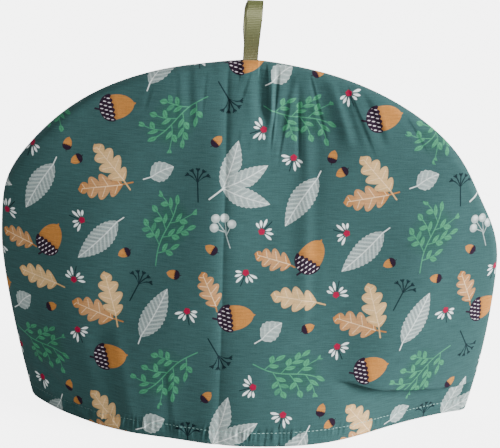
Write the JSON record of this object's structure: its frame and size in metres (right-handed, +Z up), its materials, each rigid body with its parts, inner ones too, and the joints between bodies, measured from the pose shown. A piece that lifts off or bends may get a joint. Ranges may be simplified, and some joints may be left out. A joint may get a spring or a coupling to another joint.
{
  "type": "tea cosy",
  "caption": "Domed cloth tea cosy of padded cotton print, seamed round its top and open along its hem, with a ribbon loop caught in the seam at its crown.",
  "frame": {"origin": "under the middle of the cosy's box, on the plane of the hem, which is the surface that it rests on", "axes": "+Z up through the crown, +X along the seam's plane to the right as seen from the front, -Y towards the viewer of the front panel"},
  "size_m": [0.3415, 0.1501, 0.2814],
  "materials": {
    "printed_cotton": "matt plain-weave cotton printed all over in dark teal with leaves, acorns and small flowers, tone-on-tone stitching along the hem",
    "ribbon": "olive ribbed ribbon with a soft sheen across its ribs"
  },
  "bodies": {
    "root": {"front_panel": "printed_cotton", "back_panel": "printed_cotton", "hanging_loop": "ribbon"}
  },
  "joints": []
}
